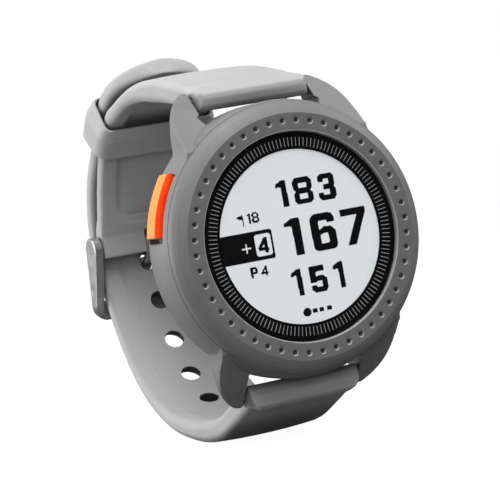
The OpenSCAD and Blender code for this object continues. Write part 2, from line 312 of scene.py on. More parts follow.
def lathe_at(profile, origin, axis, n=32, closed_ends=True):
    """[radius, height] outline turned about an axis through origin."""
    axis = np.array(axis, float); axis /= np.linalg.norm(axis)
    u = np.cross(axis, (0.0, 1.0, 0.0) if abs(axis[1]) < 0.9 else (1.0, 0.0, 0.0)); u /= np.linalg.norm(u)
    v = np.cross(axis, u)
    o = np.array(origin, float)
    verts, faces, k = [], [], len(profile)
    for i in range(n):
        a = math.tau * i / n
        for r, h in profile:
            verts.append(tuple(o + axis * h + r * (math.cos(a) * u + math.sin(a) * v)))
    for i in range(n):
        j = (i + 1) % n
        for q in range(k - 1):
            faces.append((i * k + q, i * k + q + 1, j * k + q + 1, j * k + q))
    faces.append(tuple(i * k for i in range(n)))
    faces.append(tuple(i * k + k - 1 for i in reversed(range(n))))
    return verts, faces


def sweep(stations, capped=True):
    """Skins a list of closed rings of points. Every ring has the same number of points."""
    k = len(stations[0])
    verts = [tuple(p) for ring in stations for p in ring]
    faces = []
    for i in range(len(stations) - 1):
        for q in range(k):
            w = (q + 1) % k
            faces.append((i * k + q, i * k + w, (i + 1) * k + w, (i + 1) * k + q))
    if capped:
        faces.append(tuple(range(k)))
        faces.append(tuple((len(stations) - 1) * k + q for q in reversed(range(k))))
    return verts, faces


# ---------------------------------------------------------------- materials

def nodes_of(name):
    m = bpy.data.materials.new(name)
    m.use_nodes = True
    nt = m.node_tree
    b = nt.nodes["Principled BSDF"]
    return m, nt, b


def noise(nt, coord, scale, detail=4.0, rough=0.55):
    n = nt.nodes.new("ShaderNodeTexNoise")
    n.inputs["Scale"].default_value = scale
    n.inputs["Detail"].default_value = detail
    n.inputs["Roughness"].default_value = rough
    nt.links.new(coord, n.inputs["Vector"])
    return n.outputs["Fac"]


def ramp(nt, fac, a, b, lo=0.0, hi=1.0):
    r = nt.nodes.new("ShaderNodeMapRange")
    r.inputs["From Min"].default_value = a
    r.inputs["From Max"].default_value = b
    r.inputs["To Min"].default_value = lo
    r.inputs["To Max"].default_value = hi
    r.clamp = True
    nt.links.new(fac, r.inputs["Value"])
    return r.outputs["Result"]


def mixed(nt, fac, a, b, mode="MIX"):
    m = nt.nodes.new("ShaderNodeMix")
    m.data_type = "RGBA"
    m.blend_type = mode
    for sock, val in ((m.inputs[0], fac), (m.inputs[6], a), (m.inputs[7], b)):
        if hasattr(val, "is_output"):
            nt.links.new(val, sock)
        else:
            sock.default_value = val if not isinstance(val, tuple) else (*val, 1.0)[:4]
    return m.outputs[2]


def tone(c, k):
    return tuple(max(0.0, min(1.0, v * k)) for v in c)


def surface(name, base, rough=0.5, metal=0.0, vary=0.06, speck=0.05, grain=9000.0, bump=0.25,
            wear=0.0, wear_col=None, dust=0.0, lip=False, rough_var=0.08, blotch=160.0, brushed=None, crevice_shade=0.0, **sockets):
    """A procedural surface: slow colour change, fine speckle, grain in the bump and roughness, lighter worn edges, and
    where asked painted shade in closed corners and painted light and shade on the bezel.
    """
    m, nt, b = nodes_of(name)
    tc = nt.nodes.new("ShaderNodeTexCoord").outputs["Object"]
    if brushed:
        mp = nt.nodes.new("ShaderNodeMapping")
        mp.inputs["Scale"].default_value = brushed
        nt.links.new(tc, mp.inputs["Vector"])
        gc = mp.outputs["Vector"]
    else:
        gc = tc
    slow = noise(nt, tc, blotch, 3.0)
    fine = noise(nt, gc, grain, 2.0, 0.6)
    col = mixed(nt, ramp(nt, slow, 0.3, 0.7), tone(base, 1 - vary), tone(base, 1 + vary))
    col = mixed(nt, ramp(nt, fine, 0.32, 0.68), mixed(nt, 1.0, col, tone((1, 1, 1), 1 - speck), "MULTIPLY"), col)
    if wear:
        geo = nt.nodes.new("ShaderNodeNewGeometry")
        edge = ramp(nt, geo.outputs["Pointiness"], 0.505, 0.56)
        broken = nt.nodes.new("ShaderNodeMath")
        broken.operation = "MULTIPLY"
        nt.links.new(edge, broken.inputs[0])
        nt.links.new(ramp(nt, noise(nt, tc, 900.0, 5.0), 0.35, 0.7, 0.0, wear), broken.inputs[1])
        col = mixed(nt, broken.outputs[0], col, wear_col or tone(base, 1.35))
    if dust:
        d = noise(nt, tc, 420.0, 8.0, 0.7)
        col = mixed(nt, ramp(nt, d, 0.58, 0.75, 0.0, dust), col, (0.8, 0.8, 0.78))
    if crevice_shade:
        # painted shade: closed corners and hole walls are drawn darker where ambient occlusion finds them
        ao = nt.nodes.new("ShaderNodeAmbientOcclusion")
        ao.samples = 6
        ao.inputs["Distance"].default_value = 0.006
        col = mixed(nt, ramp(nt, ao.outputs["AO"], 0.2, 0.8, crevice_shade, 0.0), col, tone(base, 0.08))
    if lip:
        # painted light and shade on the bezel; the lip around the window gets a painted highlight
        sp = nt.nodes.new("ShaderNodeSeparateXYZ")
        nt.links.new(tc, sp.inputs[0])
        flat = nt.nodes.new("ShaderNodeCombineXYZ")
        nt.links.new(sp.outputs["X"], flat.inputs["X"])
        nt.links.new(sp.outputs["Z"], flat.inputs["Z"])
        ln = nt.nodes.new("ShaderNodeVectorMath")
        ln.operation = "LENGTH"
        nt.links.new(flat.outputs[0], ln.inputs[0])
        # painted shade: the flat is drawn a little darker than the rounded edge
        col = mixed(nt, ramp(nt, ln.outputs["Value"], 0.0215, 0.0217, 1.0, 0.0), col, (0.82, 0.82, 0.82), "MULTIPLY")
        # painted highlight: the lip around the window is drawn lighter
        col = mixed(nt, ramp(nt, ln.outputs["Value"], 0.01858, 0.01866, 0.75, 0.0), col, (0.62, 0.63, 0.63))
        # painted shade in the bottom of the dimples; first the band of radii that holds them
        band = nt.nodes.new("ShaderNodeMath")
        band.operation = "MULTIPLY"
        nt.links.new(ramp(nt, ln.outputs["Value"], 0.0195, 0.0196), band.inputs[0])
        nt.links.new(ramp(nt, ln.outputs["Value"], 0.0210, 0.0211, 1.0, 0.0), band.inputs[1])
        # painted highlight on the dimples' rims, on the faces turned up and to the left
        dimple_rim = nt.nodes.new("ShaderNodeMath")
        dimple_rim.operation = "MULTIPLY"
        nt.links.new(band.outputs[0], dimple_rim.inputs[0])
        nt.links.new(ramp(nt, sp.outputs["Y"], -0.013295, -0.01328), dimple_rim.inputs[1])
        geo = nt.nodes.new("ShaderNodeNewGeometry")
        side = nt.nodes.new("ShaderNodeVectorMath")
        side.operation = "DOT_PRODUCT"
        side.inputs[1].default_value = (-0.5, 0.0, 0.85)
        nt.links.new(geo.outputs["Normal"], side.inputs[0])
        lower = nt.nodes.new("ShaderNodeMath")
        lower.operation = "MULTIPLY"
        nt.links.new(dimple_rim.outputs[0], lower.inputs[0])
        nt.links.new(ramp(nt, side.outputs["Value"], 0.05, 0.4), lower.inputs[1])
        col = mixed(nt, lower.outputs[0], col, (0.5, 0.505, 0.505))
        # painted shade: the dimples' bottoms are drawn near-black
        deep = nt.nodes.new("ShaderNodeMath")
        deep.operation = "MULTIPLY"
        nt.links.new(band.outputs[0], deep.inputs[0])
        nt.links.new(ramp(nt, sp.outputs["Y"], -0.01318, -0.01308), deep.inputs[1])
        front = nt.nodes.new("ShaderNodeMath")
        front.operation = "MULTIPLY"
        nt.links.new(deep.outputs[0], front.inputs[0])
        nt.links.new(ramp(nt, sp.outputs["Y"], -0.0128, -0.0127, 0.93, 0.0), front.inputs[1])
        col = mixed(nt, front.outputs[0], col, (0.012, 0.012, 0.012))
    nt.links.new(col, b.inputs["Base Color"])
    nt.links.new(ramp(nt, noise(nt, tc, blotch * 5, 4.0), 0.3, 0.7, rough - rough_var, rough + rough_var), b.inputs["Roughness"])
    b.inputs["Metallic"].default_value = metal
    bp = nt.nodes.new("ShaderNodeBump")
    bp.inputs["Strength"].default_value = bump
    bp.inputs["Distance"].default_value = 0.00004
    nt.links.new(fine, bp.inputs["Height"])
    nt.links.new(bp.outputs["Normal"], b.inputs["Normal"])
    for k, v in sockets.items():
        b.inputs[k.replace("_", " ")].default_value = v
    return m


def clear(name, alpha, tint=(0.9, 0.95, 1.0), rough=0.03):
    """A thin clear film or window: mostly see-through, with a polished surface."""
    m, nt, b = nodes_of(name)
    tc = nt.nodes.new("ShaderNodeTexCoord").outputs["Object"]
    nt.links.new(mixed(nt, ramp(nt, noise(nt, tc, 90.0), 0.3, 0.7), tone(tint, 0.9), tint), b.inputs["Base Color"])
    nt.links.new(ramp(nt, noise(nt, tc, 300.0, 6.0), 0.4, 0.75, rough, rough + 0.05), b.inputs["Roughness"])
    b.inputs["Alpha"].default_value = alpha
    b.inputs["IOR"].default_value = 1.45
    return m


GREY = (0.256, 0.26, 0.259)
SILICONE = (0.525, 0.527, 0.527)
MAT = {
    "case": surface("case_plastic", GREY, crevice_shade=0.8, rough=0.62, vary=0.05, speck=0.12, grain=7000.0, bump=0.35, wear=0.4, wear_col=(0.36, 0.365, 0.365)),
    "bezel": surface("bezel_plastic", tone(GREY, 0.97), rough=0.55, vary=0.05, speck=0.16, grain=7500.0, bump=0.35, lip=True),
    "cover": surface("cover_plastic", (0.085, 0.087, 0.09), rough=0.5, vary=0.08, speck=0.1, grain=6500.0, bump=0.3, wear=0.5),
    "strap": surface("strap_silicone", SILICONE, crevice_shade=0.85, rough=0.72, vary=0.035, speck=0.07, grain=6200.0, bump=0.3, dust=0.12, wear=0.15,
                     Sheen_Weight=0.25, Sheen_Roughness=0.45),
    "buckle": surface("buckle_steel", (0.42, 0.42, 0.42), rough=0.4, metal=0.85, vary=0.06, speck=0.1, grain=9000.0, bump=0.25, wear=0.7, wear_col=(0.62, 0.62, 0.62)),
    "bar_steel": surface("bar_steel", (0.55, 0.55, 0.56), rough=0.3, metal=1.0, vary=0.05, brushed=(40.0, 1.0, 1.0), grain=400.0, bump=0.2),
    "screw_steel": surface("screw_steel", (0.5, 0.5, 0.51), rough=0.32, metal=1.0, vary=0.08, brushed=(1.0, 30.0, 1.0), grain=500.0, bump=0.25, wear=0.5),
    "can_steel": surface("can_steel", (0.62, 0.63, 0.64), rough=0.35, metal=1.0, vary=0.05, brushed=(1.0, 1.0, 25.0), grain=350.0, bump=0.2),
    "contact_gold": surface("contact_gold", (0.83, 0.60, 0.24), rough=0.25, metal=1.0, vary=0.06, grain=5000.0, bump=0.15, wear=0.3),
    "battery_foil": surface("battery_foil", (0.55, 0.56, 0.58), rough=0.38, metal=0.9, vary=0.08, grain=1500.0, bump=0.4),
    "board": surface("board_green", (0.012, 0.10, 0.045), rough=0.35, vary=0.25, blotch=700.0, speck=0.3, grain=3000.0, bump=0.3),
    "inner_frame": surface("inner_black", (0.02, 0.02, 0.021), rough=0.55, vary=0.15, speck=0.2, grain=5000.0, bump=0.3),
    "switch_body": surface("switch_black", (0.03, 0.03, 0.032), rough=0.45, vary=0.15, speck=0.2, grain=5000.0, bump=0.3),
    "seal": surface("seal_rubber", (0.018, 0.018, 0.018), rough=0.7, vary=0.2, speck=0.25, grain=6000.0, bump=0.4),
    "foam": surface("foam_black", (0.025, 0.025, 0.027), rough=0.9, vary=0.2, speck=0.4, grain=2500.0, bump=0.8),
    "ceramic": surface("antenna_ceramic", (0.62, 0.55, 0.40), rough=0.5, vary=0.08, speck=0.15, grain=4000.0, bump=0.3),
    "light_guide": surface("light_guide", (0.82, 0.84, 0.86), rough=0.2, vary=0.03, speck=0.05, grain=3000.0, bump=0.1),
    "flex_film": surface("flex_amber", (0.42, 0.19, 0.03), rough=0.3, vary=0.15, brushed=(8.0, 1.0, 1.0), grain=300.0, speck=0.3, bump=0.2),
    "dial_black": surface("dial_black", (0.004, 0.004, 0.0042), rough=0.5, vary=0.2, speck=0.2, grain=5000.0, bump=0.1, Specular_IOR_Level=0.05),
    # painted light: the display is given a glow that brightens it beyond what the lamps give
    "display": surface("display_white", (0.84, 0.87, 0.88), rough=0.5, vary=0.012, blotch=60.0, speck=0.03, grain=9000.0, bump=0.05,
                       Emission_Color=(0.93, 0.97, 1.0, 1.0), Emission_Strength=0.43, Specular_IOR_Level=0.2),
    "lens_glass": clear("lens_clear", 0.06, (0.02, 0.022, 0.024)),
    "touch_film": clear("touch_clear", 0.02, (0.1, 0.1, 0.1)),
}
# painted shade: a near-black material for the walls of the strap's holes
HOLE_SHADE = surface("hole_wall_shade", (0.07, 0.07, 0.071), rough=0.75, vary=0.15, speck=0.1, grain=6200.0, bump=0.3)
LUG_INSIDE = surface("lug_inside", (0.065, 0.066, 0.066), rough=0.75, vary=0.1, speck=0.1, grain=7000.0, bump=0.3)
INK = surface("display_ink", (0.004, 0.004, 0.0042), rough=0.5, vary=0.2, speck=0.25, grain=8000.0, bump=0.05, Specular_IOR_Level=0.05)
TICK = surface("tick_print", (0.62, 0.62, 0.62), rough=0.5, vary=0.1, speck=0.15, grain=8000.0, bump=0.1)


def orange():
    """The button's shell, with painted light and shade: lighter where it faces outwards, deeper on its chamfers, and
    glowing a little.
    """
    m, nt, b = nodes_of("button_orange")
    tc = nt.nodes.new("ShaderNodeTexCoord").outputs["Object"]
    sep = nt.nodes.new("ShaderNodeSeparateXYZ")
    nt.links.new(tc, sep.inputs[0])
    r = nt.nodes.new("ShaderNodeCombineXYZ")
    nt.links.new(sep.outputs["X"], r.inputs["X"])
    nt.links.new(sep.outputs["Z"], r.inputs["Z"])
    ln = nt.nodes.new("ShaderNodeVectorMath")
    ln.operation = "LENGTH"
    nt.links.new(r.outputs[0], ln.inputs[0])
    # painted light: the pale, lit colour goes on the face turned outwards, the deep, shaded colour on the chamfer
    out = ramp(nt, sep.outputs["Y"], -0.00775, -0.00758)
    fine = noise(nt, tc, 7000.0, 3.0, 0.7)
    slow = noise(nt, tc, 500.0, 3.0)
    deep = mixed(nt, ramp(nt, slow, 0.3, 0.7), (0.90, 0.030, 0.0), (1.0, 0.055, 0.002))
    pale = mixed(nt, ramp(nt, slow, 0.3, 0.7), (0.93, 0.27, 0.05), (1.0, 0.34, 0.08))
    grains = ramp(nt, fine, 0.44, 0.62)
    deep = mixed(nt, ramp(nt, fine, 0.5, 0.7, 0.0, 0.5), deep, (1.0, 0.2, 0.03))
    pale = mixed(nt, grains, pale, mixed(nt, ramp(nt, slow, 0.4, 0.6), (0.95, 0.46, 0.17), (1.0, 0.40, 0.12)))
    col = mixed(nt, out, deep, pale)
    nt.links.new(col, b.inputs["Base Color"])
    nt.links.new(ramp(nt, slow, 0.3, 0.7, 0.38, 0.5), b.inputs["Roughness"])
    bp = nt.nodes.new("ShaderNodeBump")
    bp.inputs["Strength"].default_value = 0.3
    bp.inputs["Distance"].default_value = 0.00004
    nt.links.new(fine, bp.inputs["Height"])
    nt.links.new(bp.outputs["Normal"], b.inputs["Normal"])
    b.inputs["Specular IOR Level"].default_value = 0.2
    # painted light: the shell glows a little in its own colour
    nt.links.new(col, b.inputs["Emission Color"])
    b.inputs["Emission Strength"].default_value = 0.22
    return m


MAT["button"] = orange()


def finish_with(ob, slot, body, *replaced, mat=None):
    ob.data.materials.clear()
    ob.data.materials.append(mat or MAT[slot])
    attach(ob, body)
    if replaced:
        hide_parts(*replaced)
    return ob


# ---- every CAD node gets the finish of its slot; the pieces below replace some of them
SLOT = {s["node"]: s["material_slot"] for s in frame["record"]["subparts"]}
for name, ob in frame["nodes"].items():
    for i in range(max(1, len(ob.material_slots))):
        if not ob.material_slots:
            ob.data.materials.append(MAT[SLOT[name]])
        ob.material_slots[i].material = MAT[SLOT[name]]


def weighted(ob):
    """Flat faces keep flat shading next to small rounded edges."""
    m = ob.modifiers.new("w", "WEIGHTED_NORMAL")
    m.mode = "FACE_AREA"
    m.weight = 80
    m.keep_sharp = True
    return apply_mods(ob)


def piece(name, slot, body, replaced, verts, faces, angle=40.0, mat=None):
    ob = mesh_object(name, verts, faces, angle)
    return finish_with(ob, slot, body, *replaced, mat=mat)


# ---------------------------------------------------------------- bezel

edge = [(18.45, 0.16), (18.47, 0.09), (18.52, 0.03), (18.6, 0.0)]
roll = fillet([(18.6, 0.0), (21.62, 0.0), (22.36, 0.5), (23.12, 1.18), (23.74, 2.02), (24.06, 2.85), (24.05, 2.98)],
              [0, 0.08, 2.4, 2.4, 2.0, 0.06, 0], closed=False, seg=6)[1:]
bezel = mesh_object("bezel_ring", *turned(edge + roll + [(22.2, 2.98), (22.2, 4.6), (21.1, 4.6), (21.1, 2.4),
                                                         (16.95, 2.4), (16.95, 1.15), (18.45, 1.15)], 360), angle=26)
bowl = [(0.0, -0.2), (0.75, -0.2), (0.75, -0.004), (0.64, 0.0), (0.56, 0.03), (0.48, 0.09), (0.4, 0.17), (0.33, 0.25), (0.24, 0.33),
        (0.13, 0.385), (0.0, 0.4)]
cuts = []
for i in range(48):
    a = math.radians(90 + i * 7.5)
    v, f = turned_to_axis(bowl, 28)
    cuts.append(([(x + 20.3 * math.cos(a), y, z + 20.3 * math.sin(a)) for x, y, z in v], f))
tool = mesh_object("tool", *joined("t", cuts), angle=180)
boolean(bezel, [tool])
shade(bezel, 24)
weighted(bezel)
finish_with(bezel, "bezel", "case", "bezel")

# ---------------------------------------------------------------- window and display

glass = fillet([(18.36, 0.8), (18.36, 0.23), (18.2, 0.1), (0, 0.1)], [0, 0.05, 0.12, 0], closed=False, seg=3)
prof = [(0, 0.1)] + [p for p in reversed(glass)][1:] + [(0, 0.8)]
piece("lens_window", "lens_glass", "case", ["lens"], *turned_to_axis(prof, 200), angle=30)


def dome_sheet(r, d0, d1, n=200, soft=0.02):
    return turned_to_axis([(0, d0), (r - soft, d0), (r, d0 + soft), (r, d1 - soft), (r - soft, d1), (0, d1)], n)


piece("touch_sheet", "touch_film", "case", ["touch_sensor"], *dome_sheet(17.05, 0.96, 1.10))
piece("display_glass", "display", "case", ["display_panel"], *dome_sheet(16.78, 1.16, 2.5))

# a black mask with printed ticks
mask_prof = [(15.28, 0.86), (15.32, 0.83), (18.28, 0.83), (18.3, 0.85), (18.3, 0.95), (15.3, 0.95)]
mask = mesh_object("minute_mask", *turned(mask_prof, 240), angle=30)
finish_with(mask, "dial_black", "case", "minute_ring")
tick_v, tick_f = [], []
for i in range(144):
    a = math.radians(90 + i * 2.5)
    c, s = math.cos(a), math.sin(a)
    h = 0.058
    b = len(tick_v)
    for r, w in ((15.8, -h), (17.38, -h), (17.38, h), (15.8, h)):
        for d in (0.815, 0.832):
            tick_v.append((r * c - w * s, d, r * s + w * c))
    for q in range(4):
        w = (q + 1) % 4
        tick_f.append((b + 2 * q, b + 2 * w, b + 2 * w + 1, b + 2 * q + 1))
    tick_f.append((b, b + 2, b + 4, b + 6))
    tick_f.append((b + 7, b + 5, b + 3, b + 1))
ticks = mesh_object("minute_ticks", tick_v, tick_f, angle=30)
finish_with(ticks, "dial_black", "case", mat=TICK)

# what the display shows: generic numbers, a flag, a bar and page dots, in square pixels
SHOWN = [
    # 183
    ([(-3, 9), (-2.9, 9.6), (-2.2, 9.85), (-2, 10.1), (-1.1, 10.1), (-1.05, 5.5), (-1.95, 5.5), (-2, 9), (-2.6, 9.05)], []),
    ([(0.3, 9.5), (0.8, 10.1), (3.3, 10.1), (3.8, 9.5), (3.8, 8.2), (3.4, 7.7), (3.8, 7.3), (3.8, 6), (3.2, 5.5), (0.9, 5.5),
      (0.4, 6), (0.35, 7.3), (0.8, 7.7), (0.35, 8.2)],
     [[(1.25, 8.25), (2.95, 8.25), (2.95, 9.15), (1.25, 9.15)], [(1.25, 6.3), (2.95, 6.3), (2.95, 7.25), (1.25, 7.25)]]),
    ([(5.25, 9.6), (5.8, 10.05), (7.8, 10.05), (8.25, 9.5), (8.25, 8.1), (8, 7.7), (8.3, 7.3), (8.3, 6), (7.8, 5.45), (5.6, 5.45),
      (5.05, 6.1), (5.05, 6.7), (5.9, 6.7), (5.95, 6.3), (7.3, 6.3), (7.3, 7.25), (6.2, 7.3), (6.15, 8.1), (7.3, 8.2), (7.3, 9.15),
      (6.1, 9.15), (6.05, 8.7), (5.3, 8.7)], []),
    # 167
    ([(-2.6, 2.1), (-2.65, 2.6), (-2, 2.8), (-1.5, 3.15), (-1.2, 3.25), (0.15, 3.25), (0.25, 3.1), (0.3, -3.15), (-1.1, -3.15),
      (-1.2, 1.9), (-1.4, 2)], []),
    ([(2.35, 2.4), (2.7, 3), (3.2, 3.25), (6, 3.25), (6.6, 3), (6.9, 2.4), (6.9, 1.55), (5.65, 1.55), (5.5, 2.1), (3.8, 2.1),
      (3.7, 0.35), (4, 0.45), (4.8, 0.9), (6.1, 0.85), (6.6, 0.4), (6.95, -0.1), (6.95, -2.3), (6.7, -2.9), (6.2, -3.15),
      (3.2, -3.15), (2.7, -2.9), (2.4, -2.4)], [[(3.8, -0.4), (4.1, -0.35), (4.5, -0.2), (5.55, -0.2), (5.6, -2), (3.8, -2.05)]]),
    ([(8.35, 3.15), (13.15, 3.15), (13.15, 2.3), (12.95, 1.9), (10.5, -3.15), (9.1, -3.15), (9.15, -2.9), (11.6, 2.1), (8.45, 2.1)], []),
    # 151
    ([(-3, -6.6), (-2.9, -6.1), (-2.4, -5.95), (-2, -5.6), (-1.2, -5.55), (-1.1, -10.15), (-1.9, -10.15), (-1.95, -6.6),
      (-2.5, -6.55), (-2.8, -6.75)], []),
    ([(0.55, -5.65), (3.25, -5.65), (3.25, -6.55), (1.6, -6.6), (1.55, -7.6), (2.1, -7.35), (3, -7.35), (3.6, -7.9), (3.65, -9.6),
      (3.1, -10.2), (1.3, -10.2), (0.6, -9.6), (0.65, -8.95), (1.5, -9), (1.6, -9.3), (2.8, -9.35), (2.8, -8.2), (1.8, -8.2),
      (1.5, -8.4), (0.6, -8.4)], []),
    ([(5.25, -6.85), (5.2, -6.2), (5.6, -6.05), (6.2, -5.7), (7, -5.6), (7.05, -10.2), (6.3, -10.2), (6.2, -6.7), (5.8, -6.7)], []),
    # the hole number and its flag
    ([(-10.35, 5.5), (-10.15, 5.55), (-10.1, 3.5), (-10.3, 3.5)], []),
    ([(-11.35, 5.05), (-10.9, 5.35), (-10.3, 5.35), (-10.25, 4.6), (-10.8, 4.7)], []),
    ([(-9.4, 5.2), (-9, 5.55), (-8.7, 5.55), (-8.7, 3.75), (-9.1, 3.75), (-9.1, 5.1)], []),
    ([(-8.5, 5.2), (-8.1, 5.6), (-7.5, 5.6), (-7.1, 5.2), (-7.1, 4.9), (-7.35, 4.7), (-7.1, 4.5), (-7.1, 4.1), (-7.5, 3.7),
      (-8.2, 3.7), (-8.5, 4.1), (-8.5, 4.5), (-8.2, 4.75), (-8.5, 4.95)],
     [[(-8.05, 4.9), (-7.5, 4.9), (-7.5, 5.3), (-8.05, 5.3)], [(-8.05, 4.1), (-7.5, 4.1), (-7.5, 4.55), (-8.05, 4.55)]]),
    # the bar with its plus sign and box
    ([(-15.6, -2.85), (-5.55, -2.85), (-5.2, -2.5), (-5.2, 1.95), (-5.55, 2.3), (-15.6, 2.3)],
     [[(-11.35, -0.55), (-9.5, -0.55), (-9.5, -0.25), (-11.35, -0.25)], [(-10.6, -1.2), (-10.25, -1.2), (-10.25, -0.551), (-10.6, -0.551)],
      [(-10.6, -0.249), (-10.25, -0.249), (-10.25, 0.4), (-10.6, 0.4)],
      [(-8.7, 1.3), (-8.4, 1.65), (-5.9, 1.65), (-5.6, 1.3), (-5.6, -1.8), (-5.9, -2.15), (-8.4, -2.15), (-8.7, -1.8)]]),
    ([(-8.15, -1.2), (-8.2, -0.7), (-7.9, -0.2), (-7.4, 0.4), (-7, 1.05), (-6.4, 1.05), (-6.35, -0.8), (-6.15, -0.9), (-6.2, -1.25),
      (-6.35, -1.3), (-6.35, -1.7), (-6.95, -1.7), (-7, -1.2)], [[(-7.5, -0.7), (-7, -0.7), (-7.05, -0.15), (-7.3, -0.4)]]),
    # the par
    ([(-10.5, -3.75), (-9.4, -3.75), (-9.1, -4.1), (-9.1, -4.7), (-9.3, -4.95), (-9.95, -4.95), (-10.05, -5.6), (-10.4, -5.6)],
     [[(-9.95, -4.6), (-9.5, -4.6), (-9.5, -4.15), (-9.95, -4.15)]]),
    ([(-8.5, -5.2), (-8.5, -5), (-7.8, -4.2), (-7.6, -3.8), (-7.3, -3.8), (-7.3, -4.9), (-7.05, -4.95), (-7.05, -5.15),
      (-7.3, -5.2), (-7.35, -5.6), (-7.6, -5.6), (-7.65, -5.2)], [[(-8, -4.85), (-7.65, -4.85), (-7.65, -4.4)]]),
    # page dots
    ([(-1.15 + 0.7 * math.cos(k * math.tau / 24), -13.25 + 0.7 * math.sin(k * math.tau / 24)) for k in range(24)], []),
] + [([(x - 0.36, -13.6), (x + 0.36, -13.6), (x + 0.36, -12.9), (x - 0.36, -12.9)], []) for x in (0.35, 1.65, 3.15)]

PX = 0.0935
GRID = 344
HALF = PX * GRID / 2
cx = (np.arange(GRID) + 0.5) * PX - HALF
gx, gz = np.meshgrid(cx, cx)


def inside(poly):
    hit = np.zeros(gx.shape, bool)
    n = len(poly)
    for i in range(n):
        (x0, z0), (x1, z1) = poly[i], poly[(i + 1) % n]
        if z0 == z1:
            continue
        cross = ((gz < z0) != (gz < z1)) & (gx < x0 + (gz - z0) * (x1 - x0) / (z1 - z0))
        hit ^= cross
    return hit


ink = np.zeros(gx.shape, bool)
for outline, holes_in in SHOWN:
    shape = inside(outline)
    for hole in holes_in:
        shape &= ~inside(hole)
    ink |= shape
wide = ink.copy()
wide[:, 1:] |= ink[:, :-1]
wide[1:, :] |= ink[:-1, :]
wide[:, :-1] |= ink[:, 1:]
ink = np.where(gx > -3.4, wide, ink) & (gx ** 2 + gz ** 2 < 15.5 ** 2)
iv, ifc = [], []
used = np.zeros(ink.shape, bool)
for r in range(GRID):
    c = 0
    while c < GRID:
        if ink[r, c] and not used[r, c]:
            e = c
            while e + 1 < GRID and ink[r, e + 1] and not used[r, e + 1]:
                e += 1
            h = r
            while h + 1 < GRID and ink[h + 1, c:e + 1].all() and not used[h + 1, c:e + 1].any() \
                    and not (c > 0 and ink[h + 1, c - 1]) and not (e + 1 < GRID and ink[h + 1, e + 1]):
                h += 1
            used[r:h + 1, c:e + 1] = True
            x0, x1 = c * PX - HALF, (e + 1) * PX - HALF
            z0, z1 = r * PX - HALF, (h + 1) * PX - HALF
            b = len(iv)
            iv += [(x0, 1.13, z0), (x1, 1.13, z0), (x1, 1.13, z1), (x0, 1.13, z1), (x0, 1.162, z0), (x1, 1.162, z0), (x1, 1.162, z1), (x0, 1.162, z1)]
            ifc += [(b, b + 1, b + 2, b + 3), (b + 7, b + 6, b + 5, b + 4), (b, b + 4, b + 5, b + 1), (b + 1, b + 5, b + 6, b + 2),
                    (b + 2, b + 6, b + 7, b + 3), (b + 3, b + 7, b + 4, b)]
            c = e + 1
        else:
            c += 1
me = bpy.data.meshes.new("display_marks")
me.from_pydata([put(v) for v in iv], [], ifc)
marks = bpy.data.objects.new("display_marks", me)
LINK(marks)
finish_with(marks, "dial_black", "case", mat=INK)

# ---------------------------------------------------------------- case and lugs

LUG_IN, LUG_TIP, GAP_TIP = 11.3, 28.3, (13.0, 26.6)


def solid(name, vf, angle=40.0):
    return mesh_object(name, *vf, angle)


def mirrored(vf, sx, sz):
    v, f = vf
    v = [(x * sx, d, z * sz) for x, d, z in v]
    return v, [tuple(reversed(q)) for q in f] if sx * sz < 0 else f


wall = [(0, 2.5), (24.0, 2.5)] + [tuple(q) for q in spline([(24.12, 3.05), (24.52, 4.4), (24.74, 5.8), (24.8, 7.4), (24.8, 9.0), (24.66, 10.3),
                                                      (24.2, 11.4), (23.6, 12.15), (23.0, 12.6)], 5)] + [(0, 12.6)]
shell = solid("case_shell", turned_to_axis(wall, 300), 60)
outer = spline([(12.55, LUG_TIP - 0.08), (14.1, 27.25), (15.45, 25.9), (16.45, 24.3), (17.05, 22.4), (17.35, 20.4), (17.42, 18.6), (17.6, 17.2), (17.9, 15.0)], 5)
plan = [(LUG_IN, 13.5), (LUG_IN, LUG_TIP - 0.35), (LUG_IN + 0.12, LUG_TIP - 0.12), (LUG_IN + 0.4, LUG_TIP)] + [tuple(p) for p in outer] + [(17.9, 13.5)]
side = fillet([(3.1, 13.5), (3.1, 17.7), (5.6, 20.2), (8.9, 23.8), (12.2, 27.2), (13.0, 28.15), (13.6, 28.6), (14.25, 28.15), (14.9, 26.8),
               (15.1, 25.2), (14.6, 23.6), (12.4, 21), (11, 19), (11, 13.5)], [0, 0.3, 3, 6, 2.5, 0.8, 0.8, 0.8, 2, 2, 2, 3, 1, 0], seg=4)
lugs = []
for sx in (-1, 1):
    for sz in (-1, 1):
        a = solid("lug", mirrored(prism(plan, 0, 20, "d"), sx, sz))
        b = solid("t", mirrored(prism(side, 10, 30, "x"), sx, sz))
        boolean(a, [b], "INTERSECT")
        c = solid("t", mirrored(prism([(17.4, 9.6), (23.06, 15.26), (13.16, 25.16), (7.5, 19.5)], 10, 32, "z"), sx, sz))
        boolean(a, [c])
        lugs.append(a)
boolean(shell, lugs, "UNION")
# recess for the button, and clearances for the strap's ends
recess = fillet([(23.1, 4.4), (27, 4.4), (27, 10.4), (23.1, 10.4)], [0.35, 0, 0, 0.35], seg=4)
cut = [solid("t", turned(recess, 40, 157.5 - 13.5, 157.5 + 15.2))]
for s in (-1, 1):
    cut.append(solid("t", rod(3.8, -LUG_IN, LUG_IN, (13.0, s * 26.6), 72)))
